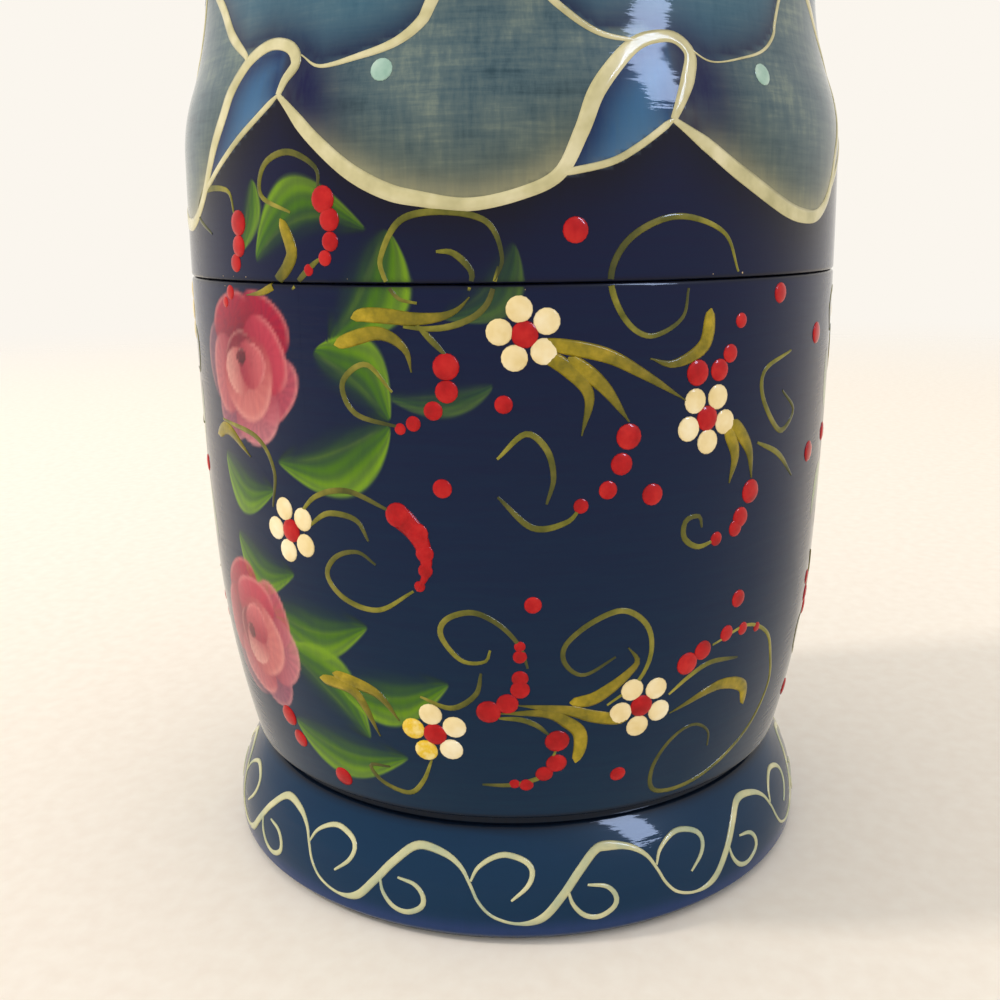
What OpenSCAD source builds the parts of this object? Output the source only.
// Nesting doll: seven turned wooden dolls that stand one inside the next.
// Six of them open at the waist, where a spigot on the lower half fits a socket in the upper half.
// Sizes are those of the largest doll in millimetres. The origin is the centre of its foot, and +Z is up.

/* [Body] */
// Diameter of the body at its widest
body_d = 96; // [92:0.5:110]
// Height of the widest place
belly_h = 82; // [76:1:86]
// Radius of the long curve up the body
belly_curve = 800; // [500:10:1200]
// Height below which the body draws in to the base
hem_h = 48; // [40:1:56]
// Radius of the curve that draws the body in
hem_curve = 152; // [130:1:200]

/* [Shoulder, neck and head] */
// Radius of the round shoulder
shoulder_curve = 25; // [18:1:30]
// How far the neck is turned in from the widest of the body
neck_cut = 4.6; // [3.6:0.1:7]
// Height of the narrowest place of the neck
neck_h = 126.5; // [122:0.5:134]
// Radius of the hollow of the neck
neck_curve = 42; // [34:1:60]
// How far the head is turned in from the widest of the body
head_cut = 2.5; // [1:0.1:3.5]

/* [Base ring] */
// How far the base ring is turned in from the widest of the body
base_cut = 1.8; // [0:0.1:3]
// Height of the base ring
base_h = 15; // [12:0.5:17]
// Radius of the ring's cushion curve
base_curve = 16.6; // [15.5:0.1:24]
// Height of the ring's widest place
base_bulge_h = 3.2; // [2.5:0.1:6]
// Bevel round the foot
foot_bevel = 1.2; // [0.4:0.1:2]
// Height of the groove between ring and body
groove_h = 1.8; // [0.8:0.1:3]
// Depth of that groove below the ring's upper edge
groove_depth = 0.5; // [0.2:0.1:1.4]

/* [Shells] */
// Height of the split between the two halves
split_h = 87; // [80:1:94]
// Thickness of the wall at its thinnest
wall = 4; // [3.5:0.1:6]
// Thickness of the floor of the lower half
floor_t = 8; // [5:0.5:12]
// Thickness of the wood over the crown of the head
crown_t = 6.6; // [5:0.2:10]
// Thickness of the upper half's rim round the spigot
rim_t = 2.9; // [2:0.1:4]
// Thickness of the spigot
spigot_t = 3; // [2:0.1:4]
// Height of the spigot
spigot_h = 10; // [6:0.5:14]
// Height left free above the spigot in its socket
spigot_rest = 0.5; // [0.3:0.1:1]
// Bevel on both edges of the split
split_bevel = 0.5; // [0.2:0.1:1]
// Radial clearance between spigot and socket, the same on every doll
fit_gap = 0.08; // [0.02:0.01:0.1]
// Least gap between a doll and the shell that it stands in
nest_gap = 0.8; // [0.5:0.1:2]
// Film of lacquer between a doll's foot and the floor that it stands on
foot_film = 0.05; // [0.02:0.01:0.2]

/* [Hidden] */

body_navy = "#1c3f66";
shawl_teal = "#6b8a92";
seed_navy = "#22486f";
turning_fn = 180;
arc_fn = 720;

// Neighbouring arcs cross by this much, and each runs on past the crossing by the lap
blend = 0.01;
lap = 3;

body_r = body_d / 2;
base_r = body_r - base_cut;
neck_r = body_r - neck_cut;
head_r = body_r - head_cut;

// Centres of the arcs of the outline, as [radius, height]. Each arc runs on smoothly into the next.
base_c = [base_r - base_curve, base_bulge_h];
belly_c = [body_r - belly_curve, belly_h];
hem_turn = asin((hem_h - belly_h) / belly_curve);
hem_c = belly_c + (belly_curve - hem_curve + blend) * [cos(hem_turn), sin(hem_turn)];
neck_c = [neck_r + neck_curve, neck_h];
shoulder_c = meet(belly_c, belly_curve - shoulder_curve + blend, neck_c, neck_curve + shoulder_curve - blend);
head_rise = sqrt(pow(head_r + neck_curve - blend, 2) - pow(neck_c[0], 2));
head_c = [0, neck_h + head_rise];

// Heights where one arc hands over to the next
body_foot_h = base_h + groove_h;
shoulder_low_h = toward(belly_c, shoulder_c, belly_curve)[1];
shoulder_high_h = toward(shoulder_c, neck_c, shoulder_curve)[1];
nape_h = toward(head_c, neck_c, head_r)[1];
doll_h = head_c[1] + head_r;
reach = max(body_r, base_r, head_r) + 1;

// Radii of the outline that the shells are cut to
foot_r = arc_r(base_c, base_curve, 0);
body_foot_r = arc_r(hem_c, hem_curve, body_foot_h);
groove_r = min(body_foot_r, arc_r(base_c, base_curve, base_h)) - groove_depth;
split_r = arc_r(belly_c, belly_curve, split_h);
cup_r = groove_r - wall;
throat_r = neck_r - wall;
dome_r = min(throat_r, head_r - crown_t);

// Each doll is this share of the size of the one that it stands in
nest_ratio = (min(cup_r, throat_r) - nest_gap) / max(body_r, base_r, head_r);

// Outline radius at height z on an arc that bulges outwards
function arc_r(c, r, z) = c[0] + sqrt(r * r - pow(z - c[1], 2));

// Point at a distance from a along the line to b
function toward(a, b, distance) = a + distance * (b - a) / norm(b - a);

// Upper of the two points that lie at distance ra from a and rb from b
function meet(a, ra, b, rb) =
    let (gap = norm(b - a),
         along = (ra * ra - rb * rb + gap * gap) / (2 * gap),
         across = sqrt(ra * ra - along * along),
         u = (b - a) / gap)
    a + along * u + across * [u[1], -u[0]];

function doll_size(depth) = pow(nest_ratio, depth);

// Height of the floor that a doll stands on, inside all the larger dolls
function doll_floor(depth) =
    depth == 0 ? 0 : doll_floor(depth - 1) + floor_t * doll_size(depth - 1) + foot_film;

module band(low, high) translate([0, low]) square([reach, high - low]);

// Part of the outline between two heights, under an arc that bulges outwards
module bulge(c, r, low, high) {
    intersection() {
        translate(c) circle(r, $fn = arc_fn);
        band(low, high);
    }
    if (c[0] > 0) translate([0, low]) square([c[0], high - low]);
}

module base_outline() {
    difference() {
        bulge(base_c, base_curve, 0, base_h);
        polygon([[foot_r - foot_bevel, 0], [foot_r + foot_bevel, 0], [foot_r + foot_bevel, 2 * foot_bevel]]);
    }
    translate([0, base_h]) square([groove_r, groove_h]);
}

module lower_outline() {
    base_outline();
    bulge(hem_c, hem_curve, body_foot_h, hem_h + lap);
    bulge(belly_c, belly_curve, hem_h, split_h);
}

module upper_outline() difference() {
    union() {
        bulge(belly_c, belly_curve, split_h, shoulder_low_h);
        bulge(shoulder_c, shoulder_curve, shoulder_low_h - lap, shoulder_high_h + lap);
        band(shoulder_high_h, nape_h);
        bulge(head_c, head_r, nape_h - lap, doll_h);
    }
    translate(neck_c) circle(neck_curve, $fn = arc_fn);
}

// Bevel cut on one edge of the split, below it or above it
module split_edge(side) polygon([
    [split_r - split_bevel, split_h],
    [split_r + split_bevel, split_h],
    [split_r + split_bevel, split_h + side * 2 * split_bevel]]);

// The lower half has a straight cup to above the groove, then a taper out to the spigot.
module lower_profile(gap) {
    socket_r = split_r - rim_t;
    mouth_r = socket_r - spigot_t;
    difference() {
        union() {
            lower_outline();
            translate([0, split_h]) square([socket_r - gap, spigot_h]);
        }
        polygon([[0, floor_t], [cup_r, floor_t], [cup_r, body_foot_h], [mouth_r, split_h],
                 [mouth_r, split_h + spigot_h + 1], [0, split_h + spigot_h + 1]]);
        split_edge(-1);
    }
}

// The upper half has a socket for the spigot, a taper in to the throat and a round dome.
module upper_profile() {
    socket_r = split_r - rim_t;
    socket_top_h = split_h + spigot_h + spigot_rest;
    ledge_r = socket_r - spigot_t;
    difference() {
        upper_outline();
        polygon([[0, split_h - 1], [socket_r, split_h - 1], [socket_r, socket_top_h], [ledge_r, socket_top_h],
                 [throat_r, neck_h], [dome_r, head_c[1]], [0, head_c[1]]]);
        translate(head_c) intersection() {
            circle(dome_r, $fn = arc_fn);
            square([dome_r + 1, dome_r + 1]);
        }
        split_edge(1);
    }
}

module place(depth) translate([0, 0, doll_floor(depth)]) scale(doll_size(depth)) children();

module bottom_half(depth) place(depth)
    rotate_extrude($fn = turning_fn) lower_profile(fit_gap / doll_size(depth));

module top_half(depth) place(depth)
    rotate_extrude($fn = turning_fn) upper_profile();

module outer_doll_bottom() color(body_navy) bottom_half(0);
module outer_doll_top() color(shawl_teal) top_half(0);
module second_doll_bottom() color(body_navy) bottom_half(1);
module second_doll_top() color(shawl_teal) top_half(1);
module third_doll_bottom() color(body_navy) bottom_half(2);
module third_doll_top() color(shawl_teal) top_half(2);
module fourth_doll_bottom() color(body_navy) bottom_half(3);
module fourth_doll_top() color(shawl_teal) top_half(3);
module fifth_doll_bottom() color(body_navy) bottom_half(4);
module fifth_doll_top() color(shawl_teal) top_half(4);
module sixth_doll_bottom() color(body_navy) bottom_half(5);
module sixth_doll_top() color(shawl_teal) top_half(5);

// The smallest doll is turned in one piece.
module seed_doll() color(seed_navy) place(6) rotate_extrude($fn = turning_fn) {
    lower_outline();
    upper_outline();
}

outer_doll_bottom();
outer_doll_top();
second_doll_bottom();
second_doll_top();
third_doll_bottom();
third_doll_top();
fourth_doll_bottom();
fourth_doll_top();
fifth_doll_bottom();
fifth_doll_top();
sixth_doll_bottom();
sixth_doll_top();
seed_doll();
